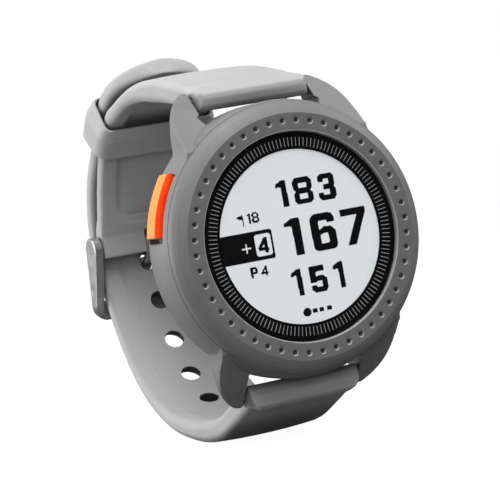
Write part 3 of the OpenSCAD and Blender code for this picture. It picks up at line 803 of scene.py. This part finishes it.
# the wall is a little lower between the upper lugs
cut.append(solid("t", turned([(24.42, 3.6), (26.5, 3.0), (26.5, 14), (24.42, 14)], 40, 90 - 27.0, 90 + 27.0)))
boolean(shell, cut)
remesh(shell, 0.17, smooth=3, factor=0.5)
AX = (-0.92388, 0.0, 0.38268)
cav = [(0, 2), (22.3, 2), (22.3, 4.8), (21.6, 4.8), (21.6, 9.9), (16.8, 9.9), (16.8, 11.4), (17.4, 11.4), (17.4, 10.6), (18.6, 10.6),
       (18.6, 11.4), (22.0, 11.4), (22.0, 16), (0, 16)]
cut = [solid("t", turned_to_axis(cav, 240)), solid("t", prism([(-32, -32), (32, -32), (32, 32), (-32, 32)], 0, 3.05, "d"))]
cut.append(solid("t", lathe_at([(1.05, 20), (1.05, 22.0), (1.8, 22.0), (1.8, 25.5)], (0, 7.4, 0), AX, 40)))
for a in (45, 135, 225, 315):
    cut.append(solid("t", lathe_at([(0.75, 9), (0.75, 12)], (20.1 * math.cos(math.radians(a)), 0, 20.1 * math.sin(math.radians(a))), (0, 1, 0), 32)))
for sx in (-1, 1):
    for s in (-1, 1):
        cut.append(solid("t", rod(0.45, 10.2 if sx > 0 else -12.8, 12.8 if sx > 0 else -10.2, (13.0, s * 26.6), 32)))
boolean(shell, cut)
shade(shell, 32)
finish_with(shell, "case", "case", "case_body")
# the lugs' inner faces lie in the strap's shade
shell.data.materials.append(LUG_INSIDE)
n = len(shell.data.polygons)
mid, nor = np.empty(n * 3), np.empty(n * 3)
shell.data.polygons.foreach_get("center", mid)
shell.data.polygons.foreach_get("normal", nor)
mid, nor = mid.reshape(n, 3) * 1e3, nor.reshape(n, 3)
slot = np.zeros(n, dtype=np.int32)
slot[(np.abs(np.abs(mid[:, 0]) - LUG_IN) < 0.3) & (mid[:, 0] * nor[:, 0] < -0.75 * np.abs(mid[:, 0])) & (np.abs(mid[:, 2]) > 20)] = 1
shell.data.polygons.foreach_set("material_index", slot)


# ---------------------------------------------------------------- button

cap = fillet([(23.9, 5.0), (24.85, 5.0), (25.5, 5.72), (25.5, 9.2), (24.9, 9.8), (23.9, 9.8)], [0.1, 0.12, 0.14, 0.2, 0.2, 0.1], seg=4)
btn = solid("button_cap", turned(cap, 90, 157.5 - 13, 157.5 + 13))
bevelled(btn, 0.28, 4, 50)
stem = solid("t", lathe_at([(0.93, 19.6), (1.0, 19.68), (1.0, 20.7), (0.7, 20.7), (0.7, 21.16), (1.0, 21.16), (1.0, 24.4)], (0, 7.4, 0), AX, 40))
boolean(btn, [stem], "UNION")
shade(btn, 30)
weighted(btn)
finish_with(btn, "button", "button", "power_button")

# ---------------------------------------------------------------- straps

KC, KR = (40.5, 2.5), 31.5
LONG_R = KR + 0.3 + 3.3
W = 10.8


def on_arc(r, a):
    return (KC[0] + r * math.cos(math.radians(a)), KC[1] + r * math.sin(math.radians(a)))


short_pts = [(12.6, 29.0), (18.1, 30.4), (24.3, 31.7), (30.8, 32.7), (37, 33.2), (43, 32.9), (48.6, 31.9), (53.4, 30.5)] \
    + [on_arc(KR, a) for a in range(59, 30, -7)] + [(69.7, 15.0), (71.7, 11.0), (73.5, 7.3), (74.9, 4.4)]
long_pts = [(12.6, -29.2), (20.2, -32.3), (27, -34.8), (34, -35.9), (42.6, -35.6), (52.3, -33.8), (61.1, -29.6), (67.5, -24.1),
            (71.9, -17.9), (74.9, -12.0), (76.6, -7.6), (78.1, -2.8), (79.0, 2), (79.0, 6.6), (77.7, 11.4), (75.4, 15.9), (72.6, 19.6)] \
    + [on_arc(LONG_R, a) for a in range(36, 51, 7)] + [(60.3, 31.5), (57, 34.0), (53.6, 36.1), (50.2, 37.6)]
HOLES = [(77.0, -1.3, 80), (74.6, -9.9, 66), (70.0, -18.0, 55), (64.0, -24.9, 43), (56.6, -29.9, 30),
         (76.5, 9.2, 110), (72.4, 16.9, 125), (66.2, 23.2, 139)]


def thickness(u, t0, t1, a, b):
    return t0 + (t1 - t0) * np.clip((u - a) / (b - a), 0, 1)


def section(hw, t, r_out, r_in, crown, n_side=6, n_flat=22, inner=None):
    """A strap's cross-section as (x, depth from the outer surface). Corners are rounded and the outer face crowned."""
    r_out, r_in = min(r_out, 0.6 * t, hw * 0.9), min(r_in, 0.38 * t, hw * 0.9)
    pts = []
    xs = np.linspace(-(hw - r_out), hw - r_out, n_flat)
    lim = hw - r_out + 1e-6
    pts += [(x, crown * (x / hw) ** 2 * 1.0) for x in xs]
    drop = crown * (lim / hw) ** 2
    for k in range(1, n_side + 1):
        a = math.pi / 2 * k / n_side
        pts.append((hw - r_out + r_out * math.sin(a), drop + (r_out - drop) * (1 - math.cos(a)) if drop < r_out else drop))
    for k in range(0, n_side + 1):
        a = math.pi / 2 * k / n_side
        pts.append((hw - r_in + r_in * math.cos(a), t - r_in + r_in * math.sin(a)))
    xi = np.linspace(hw - r_in, -(hw - r_in), n_flat + 8)[1:-1]
    for x in xi:
        pts.append((x, t - (inner(x) if inner else 0.0)))
    for k in range(n_side, -1, -1):
        a = math.pi / 2 * k / n_side
        pts.append((-(hw - r_in + r_in * math.cos(a)), t - r_in + r_in * math.sin(a)))
    for k in range(n_side, 0, -1):
        a = math.pi / 2 * k / n_side
        pts.append((-(hw - r_out + r_out * math.sin(a)), drop + (r_out - drop) * (1 - math.cos(a))))
    return pts


def strap_body(curve, sgn, thick, half_w, crown, r_out, r_in, groove):
    """Rings along the outer curve. sgn turns the normal to the wrist side."""
    nrm = normals_of(curve) * sgn
    s = length_of(curve)
    rings = []
    for i, p in enumerate(curve):
        u = s[i] / s[-1]
        t = float(thick(u, s[i], s[-1]))
        hw = float(half_w(u, s[i], s[-1]))
        sec = section(hw, t, r_out(s[i], s[-1]), r_in, crown(s[i], s[-1]), inner=lambda x: groove(x, s[i], s[-1]))
        rings.append([(x, p[0] + nrm[i][0] * q, p[1] + nrm[i][1] * q) for x, q in sec])
    return rings


def end_block(s):
    if s > 0:
        pts = fillet([(9.9, 25.4), (10.6, 24.5), (13.6, 24.75), (15.2, 26.2), (15.2, 29.6), (12.6, 29.0), (10.6, 28.35), (9.62, 27.5), (9.5, 26.6)],
                     [0.4, 0.6, 0.6, 0.3, 0.3, 2.5, 1.2, 0.45, 0.5], seg=5)
    else:
        pts = fillet([(9.9, 25.4), (10.6, 24.5), (13.6, 24.75), (15.2, 26.2), (15.2, 29.3), (12.6, 29.4), (10.9, 29.25), (9.75, 28.5), (9.5, 26.6)],
                     [0.4, 0.6, 0.6, 0.3, 0.3, 2.5, 1.2, 0.45, 0.5], seg=5)
    ob = mesh_object("t", *prism([(d, z * s) for d, z in pts], -W + 0.02, W - 0.02, "x"), angle=30)
    bevelled(ob, 0.2, 3, 50)
    high = 29.45
    far = 2.7 if s > 0 else 3.4
    top = fillet([(-W, 20), (W, 20), (W, high), (-W, high)], [1.2, 1.2, far, far], seg=8)
    boolean(ob, [mesh_object("t", *prism([(x, z * s) for x, z in top], 5, 20, "d"))], "INTERSECT")
    near = 1.6 if s > 0 else 0.9
    plan_in = fillet([(-W, 9.4), (W, 9.4), (W, 20), (-W, 20)], [near, near, 0, 0], seg=8)
    return boolean(ob, [mesh_object("t", *prism(plan_in, 20 * s if s > 0 else -32, 32 if s > 0 else -20, "z"))], "INTERSECT")


def hole_tool(h, r, lip, flare=1.0):
    """Cuts a hole with a rolled lip at the wrist side."""
    a = math.radians(h[2] - 180)
    axis = (0.0, -math.sin(a), math.cos(a))
    return lathe_at([(r + lip, -6), (r + lip, -1.9), (r + 0.02, -1.1), (r, -0.7), (r + 0.65 * flare, 1.8), (r + 0.9 * flare, 6)], (0, h[0], h[1]), axis, 48)


def soft_band(x, w, blend_w):
    """1 inside |x| < w, falling smoothly to 0 over blend_w."""
    return float(1 - smooth_step(np.array(abs(x)), w, w + blend_w))


# the short strap: from the upper lugs over the top and down to the buckle
short_c = resample(spline(short_pts, 8), 190)
SHORT_REC0, SHORT_REC1 = 33.0, 64.0


def short_groove(x, s, total):
    # a rounded rectangle: 7.9 mm each side of the middle, 5 mm corners
    lo, hi, r = 9.0, total - 4.2, 5.0
    qx, qs = abs(x) - (7.9 - r), abs(s - (lo + hi) / 2) - ((hi - lo) / 2 - r)
    sd = math.hypot(max(qx, 0), max(qs, 0)) + min(max(qx, qs), 0) - r
    return 1.25 * float(smooth_step(np.array(-sd), 0.0, 1.8))


def short_crown(s, total):
    return 0.35 - 0.2 * float(smooth_step(np.array(s), 35.0, 44.0))


rings = strap_body(short_c, -1, lambda u, s, L: thickness(u, 4.4, 3.2, 0.28, 0.46), lambda u, s, L: W, short_crown,
                   lambda s, L: 1.5 - 0.4 * float(smooth_step(np.array(s), 36.0, 46.0)), 1.3, short_groove)
short = mesh_object("strap_short", *sweep(rings), angle=50)
blk = end_block(1)
barrel = mesh_object("t", *prism(fillet([(69.6, 9.0), (71.0, 5.4), (71.16, 0.95), (74.2, 0.78), (75.2, 3.0), (74.3, 6.2), (72.5, 9.0)],
                                        [0, 2, 0.45, 1.4, 1.4, 1, 0], seg=6), -W + 0.05, W - 0.05, "x"), angle=30)
bevelled(barrel, 0.6, 4, 50)
fused(short, [blk, barrel])
remesh(short, 0.2, smooth=3, factor=0.5)
cuts = [mesh_object("t", *rod(0.8, -20, 20, (13.0, 26.6), 40)), mesh_object("t", *rod(0.79, -20, 20, (73.2, 2.8), 40)),
        mesh_object("t", *prism(fillet([(-1.6, -1), (1.6, -1), (1.6, 5.6), (-1.6, 5.6)], [0, 0, 0.5, 0.5], seg=5), 60, 90, "d")),
        mesh_object("t", *prism(fillet([(4.7, 20), (8.2, 20), (8.2, 26.6), (4.7, 26.6)], 0.5, seg=4), 12.1, 13.9, "d"))]
boolean(short, cuts)
shade(short, 40)
finish_with(short, "strap", "band", "upper_strap")

# the long strap: from the lower lugs, round the wrist side, through the buckle to its round tail
long_c = resample(spline(long_pts, 8), 300)


def long_half(u, s, total):
    back = total - s
    if back < W:
        return max(0.02, math.sqrt(max(0.0, W * W - (W - back) ** 2)))
    return W


def long_groove(x, s, total):
    lo, hi, r = 9.0, 101.0, 4.0
    qx, qs = abs(x) - (7.2 - r), abs(s - (lo + hi) / 2) - ((hi - lo) / 2 - r)
    sd = math.hypot(max(qx, 0), max(qs, 0)) + min(max(qx, qs), 0) - r
    return 0.6 * float(smooth_step(np.array(-sd), 0.0, 1.7))


def long_crown(s, total):
    a = float(smooth_step(np.array(s), 86.0, 96.0))
    return 0.45 - 0.3 * a


rings = strap_body(long_c, 1, lambda u, s, L: thickness(u, 4.4, 3.3, 0.15, 0.36), long_half, long_crown,
                   lambda s, L: 1.5 - 0.3 * float(smooth_step(np.array(s), 86.0, 96.0)), 1.3, long_groove)
long_ = mesh_object("strap_long", *sweep(rings), angle=50)
cuts = [mesh_object("t", *hole_tool(h, 1.76 if i < 2 else 1.85, 0.25, (0.0, 0.0, 1.5, 1.5)[i] if i < 4 else 1.0)) for i, h in enumerate(HOLES)]
boolean(long_, cuts)
fused(long_, [end_block(-1)])
remesh(long_, 0.2, smooth=3, factor=0.5)
cuts = [mesh_object("t", *rod(0.8, -20, 20, (13.0, -26.6), 40)),
        mesh_object("t", *prism([(a, -b) for a, b in fillet([(4.7, 20), (8.2, 20), (8.2, 26.6), (4.7, 26.6)], 0.5, seg=4)], 12.1, 13.9, "d"))]
boolean(long_, cuts)
shade(long_, 40)
finish_with(long_, "strap", "band", "lower_strap")
# painted shade: the holes' walls get the near-black material
long_.data.materials.append(HOLE_SHADE)
n = len(long_.data.polygons)
mid, nor = np.empty(n * 3), np.empty(n * 3)
long_.data.polygons.foreach_get("center", mid)
long_.data.polygons.foreach_get("normal", nor)
mid, nor = mid.reshape(n, 3) * 1e3 + (0, 13.3, 0), nor.reshape(n, 3)
slot = np.zeros(n, dtype=np.int32)
for h in HOLES:
    a = math.radians(h[2] - 180)
    axis = np.array((0.0, -math.sin(a), math.cos(a)))
    off = mid - (0, h[0], h[1])
    along = off @ axis
    away = np.linalg.norm(off - along[:, None] * axis, axis=1)
    slot[(away < 3.2) & (np.abs(along) < 2.6) & (np.abs(nor @ axis) < 0.62)] = 1
long_.data.polygons.foreach_set("material_index", slot)


# ---------------------------------------------------------------- keeper loop

def ring_points(lo_r, hi_r, hw, radii, n_line, seg=8):
    """A rounded rectangle in (x, radius) with the same number of points for any size."""
    base = fillet([(-hw, lo_r), (hw, lo_r), (hw, hi_r), (-hw, hi_r)], radii, seg=seg)
    out, k = [], seg + 1
    for c in range(4):
        out += base[c * k:(c + 1) * k]
        a, b = np.array(base[c * k + k - 1]), np.array(base[((c + 1) % 4) * k])
        out += [tuple(a + (b - a) * j / n_line) for j in range(1, n_line)]
    return out


ri, ro, kw, wall_t = 27.8, 35.6, 11.15, 1.4
inner = ring_points(ri, ro, kw, [1.2, 1.2, 1.2, 1.2], 14)
outer_p = ring_points(ri - wall_t, ro + wall_t, kw + wall_t, [2.6, 2.6, 2.8, 2.8], 14)
HALF_L = 31.5 * math.radians(7.5)
wall_sec = fillet([(0, -HALF_L), (wall_t, -HALF_L), (wall_t, HALF_L - 3.0), (wall_t - 0.85, HALF_L), (0, HALF_L)],
                  [0.3, 0.55, 1.6, 0.4, 0.25], seg=6)
# extra points along the long sides
dense = []
for i, p in enumerate(wall_sec):
    q = wall_sec[(i + 1) % len(wall_sec)]
    dense.append(p)
    gap = math.dist(p, q)
    for j in range(1, int(gap / 0.8)):
        dense.append((p[0] + (q[0] - p[0]) * j / int(gap / 0.8), p[1] + (q[1] - p[1]) * j / int(gap / 0.8)))
rings = []
for k in range(len(inner)):
    (xi, r_i), (xo, r_o) = inner[k], outer_p[k]
    ring = []
    for w, l in dense:
        f = w / wall_t
        x, r = xi + (xo - xi) * f, r_i + (r_o - r_i) * f
        a = 48.7 + math.degrees(l / 31.5)
        d, z = KC[0] + r * math.cos(math.radians(a)), KC[1] + r * math.sin(math.radians(a))
        ring.append((x, d, z))
    rings.append(ring)
rings.append(rings[0])
v, f = sweep(rings, capped=False)
keeper = mesh_object("keeper_loop", v, f, angle=60)
finish_with(keeper, "strap", "keeper", "strap_keeper")

# ---------------------------------------------------------------- buckle

PIV, BAR = (73.2, 2.8), (77.7, -9.75)
X0, LEG = 11.1, 1.7


def tapered(curve, w0, w1, n_cap=14):
    c = np.array(curve)
    nrm = normals_of(c)
    w = w0 + (w1 - w0) * length_of(c) / length_of(c)[-1]
    left, right = c + nrm * w[:, None], c - nrm * w[:, None]
    a0 = math.atan2(*(left[-1] - c[-1])[::-1])
    end = [tuple(c[-1] + w1 * np.array((math.cos(a0 - math.pi * k / n_cap), math.sin(a0 - math.pi * k / n_cap)))) for k in range(1, n_cap)]
    a1 = math.atan2(*(right[0] - c[0])[::-1])
    start = [tuple(c[0] + w0 * np.array((math.cos(a1 - math.pi * k / n_cap), math.sin(a1 - math.pi * k / n_cap)))) for k in range(1, n_cap)]
    return [tuple(p) for p in left] + end + [tuple(p) for p in right[::-1]] + start


leg_line = spline([PIV, (74.4, -1.0), (75.7, -5.2), (77.3, -9.6)], 8)
leg_plan = tapered(leg_line, 2.7, 1.25, 20)
frame_parts = []
for s in (-1, 1):
    lo, hi = sorted((s * X0, s * (X0 + LEG)))
    leg = mesh_object("t", *prism(leg_plan, lo, hi, "x"), angle=30)
    frame_parts.append(leg)
buckle = frame_parts[0]
ux, uz = math.cos(math.radians(68)), math.sin(math.radians(68))


def on_plate(a, b):
    return (BAR[0] + 0.12 + ux * a + uz * b, BAR[1] + uz * a - ux * b)


plate = fillet([on_plate(-1.7, -0.7), on_plate(2.4, -0.7), on_plate(2.4, 0.75), on_plate(-1.7, 0.75)], 0.66, seg=6)
boolean(buckle, [frame_parts[1], mesh_object("t", *prism(plate, -X0 - 0.6, X0 + 0.6, "x"))], "UNION")
corner = []
for s in (-1, 1):
    pts = []
    # a rounded cut between the leg and the end bar, in the x-z plane
    for k in range(13):
        a = math.radians(90 * k / 12)
        pts.append((s * (X0 + LEG - 3.4 + 3.4 * math.cos(a)), -8.0 - 3.55 * math.sin(a)))
    pts += [(s * (X0 - 3.0), -15.0), (s * (X0 + 4.0), -15.0), (s * (X0 + 4.0), -8.0)]
    corner.append(mesh_object("t", *prism(pts, 60, 90, "d"), angle=30))
boolean(buckle, corner)
remesh(buckle, 0.11, smooth=9, factor=0.6)
shade(buckle, 60)
finish_with(buckle, "buckle", "buckle", "buckle_frame")

# the tang: a round-edged bar bent over the strap, with a barrel on the pin
tang_line = resample(spline([(73.5, 1.6), (74.1, 0.3), (75.2, -0.9), (77.0, -1.5), (79.1, -1.3), (80.2, -3.0), (80.3, -6.9), (79.9, -9.3), (79.2, -11.0)], 10), 70)
nrm = normals_of(tang_line)
rings = []
for i, p in enumerate(tang_line):
    u = i / (len(tang_line) - 1)
    tip = 1 - 0.35 * float(smooth_step(np.array(u), 0.9, 1.0))
    knee = float(smooth_step(np.array(u), 0.365, 0.405)) * (1 - float(smooth_step(np.array(u), 0.46, 0.58)))
    hw, ht = (0.95 + 0.3 * float(smooth_step(np.array(u), 0.05, 0.2)) + 0.5 * knee) * tip, (0.6 + 0.5 * knee if u < 0.93 else 0.6 - 0.15 * (u - 0.93) / 0.07)
    sec = fillet([(-hw, -ht), (hw, -ht), (hw, ht), (-hw, ht)], 0.32, seg=5)
    rings.append([(x, p[0] + nrm[i][0] * q, p[1] + nrm[i][1] * q) for x, q in sec])
tang = mesh_object("buckle_prong", *sweep(rings), angle=40)
barrel = mesh_object("t", *rod(1.6, -1.3, 1.3, PIV, 56), angle=30)
bevelled(barrel, 0.2, 3, 50)
boolean(tang, [barrel], "UNION")
boolean(tang, [mesh_object("t", *rod(0.8, -5, 5, PIV, 40))])
shade(tang, 40)
finish_with(tang, "buckle", "tang", "buckle_tang")


# ---------------------------------------------------------------- camera, light, floor

RIGHT = Vector((0.9008133, -0.3971292, -0.1755671))
UP = Vector((0.171266, -0.0465866, 0.9841228))
BACK = Vector((-0.3990029, -0.9165796, 0.0260489))
cam_data = bpy.data.cameras.new("view")
cam_data.lens = 168.26
cam_data.sensor_width = 36.0
cam_data.clip_start = 0.01
cam_data.clip_end = 20.0
cam = bpy.data.objects.new("view", cam_data)
cam.matrix_world = Matrix(((RIGHT.x, UP.x, BACK.x, -0.1707958), (RIGHT.y, UP.y, BACK.y, -0.3819185),
                           (RIGHT.z, UP.z, BACK.z, 0.0098136), (0, 0, 0, 1)))
LINK(cam)
SCENE.camera = cam
SCENE.view_settings.view_transform = "Standard"
SCENE.view_settings.look = "None"

AIM = Vector((-0.004, 0.012, 0.0))


def light(name, way, dist, size, power, size_y=None, tint=(1, 1, 1)):
    """An area light set by its direction from the object, in the row's axes."""
    way = Vector(way).normalized()
    data = bpy.data.lights.new(name, "AREA")
    data.shape = "RECTANGLE" if size_y else "SQUARE"
    data.size = size
    if size_y:
        data.size_y = size_y
    data.energy = power
    data.color = tint
    ob = bpy.data.objects.new(name, data)
    ob.location = AIM + way * dist
    ob.rotation_euler = (-way).to_track_quat("-Z", "Y").to_euler()
    LINK(ob)
    return ob


light("top", (-0.15, -0.05, 0.98), 0.75, 0.45, 4.0)
light("front_top", (-0.1, -0.72, 0.68), 0.9, 0.4, 2.5)
light("front_low", (-0.42, -0.92, 0.12), 0.9, 0.4, 1.6)
light("left", (-0.8, 0.6, 0.1), 0.8, 0.35, 5.5)
light("right", (0.85, -0.15, 0.5), 0.9, 0.35, 2.2)

world = bpy.data.worlds.new("studio")
SCENE.world = world
world.use_nodes = True
nt = world.node_tree
nt.nodes.clear()
out = nt.nodes.new("ShaderNodeOutputWorld")
mixw = nt.nodes.new("ShaderNodeMixShader")
lp = nt.nodes.new("ShaderNodeLightPath")
seen = nt.nodes.new("ShaderNodeBackground")
seen.inputs["Color"].default_value = (1, 1, 1, 1)
lit = nt.nodes.new("ShaderNodeBackground")
tc = nt.nodes.new("ShaderNodeTexCoord")
sep = nt.nodes.new("ShaderNodeSeparateXYZ")
nt.links.new(tc.outputs["Generated"], sep.inputs[0])
up = ramp(nt, sep.outputs["Z"], -0.5, 0.9, 0.10, 1.0)
sky = mixed(nt, up, (0.03, 0.03, 0.03), (0.18, 0.18, 0.18))
nt.links.new(sky, lit.inputs["Color"])
nt.links.new(lp.outputs["Is Camera Ray"], mixw.inputs[0])
nt.links.new(lit.outputs[0], mixw.inputs[1])
nt.links.new(seen.outputs[0], mixw.inputs[2])
nt.links.new(mixw.outputs[0], out.inputs["Surface"])

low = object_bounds()[0]
fl_v, fl_f, R = [], [], 1.6
N, M = 72, 24
for j in range(M + 1):
    for i in range(N):
        a = math.tau * i / N
        r = R * (j / M) ** 1.6 + 1e-4
        fl_v.append((r * math.cos(a), 0.025 + r * math.sin(a), low[2] - 0.0002))
for j in range(M):
    for i in range(N):
        k = (i + 1) % N
        fl_f.append((j * N + i, j * N + k, (j + 1) * N + k, (j + 1) * N + i))
fl_f.append(tuple(reversed(range(N))))
me = bpy.data.meshes.new("floor")
me.from_pydata(fl_v, [], fl_f)
floor = bpy.data.objects.new("floor", me)
LINK(floor)
m = bpy.data.materials.new("floor_pale")
m.use_nodes = True
nt = m.node_tree
nt.nodes.clear()
out = nt.nodes.new("ShaderNodeOutputMaterial")
dif = nt.nodes.new("ShaderNodeBsdfDiffuse")
dif.inputs["Color"].default_value = (0.13, 0.13, 0.13, 1)
em = nt.nodes.new("ShaderNodeEmission")
em.inputs["Color"].default_value = (1, 1, 1, 1)
em.inputs["Strength"].default_value = 0.965
add = nt.nodes.new("ShaderNodeAddShader")
lp = nt.nodes.new("ShaderNodeLightPath")
mx = nt.nodes.new("ShaderNodeMixShader")
nt.links.new(dif.outputs[0], add.inputs[0])
nt.links.new(em.outputs[0], add.inputs[1])
nt.links.new(lp.outputs["Is Camera Ray"], mx.inputs[0])
nt.links.new(dif.outputs[0], mx.inputs[1])
nt.links.new(add.outputs[0], mx.inputs[2])
nt.links.new(mx.outputs[0], out.inputs["Surface"])
floor.data.materials.append(m)
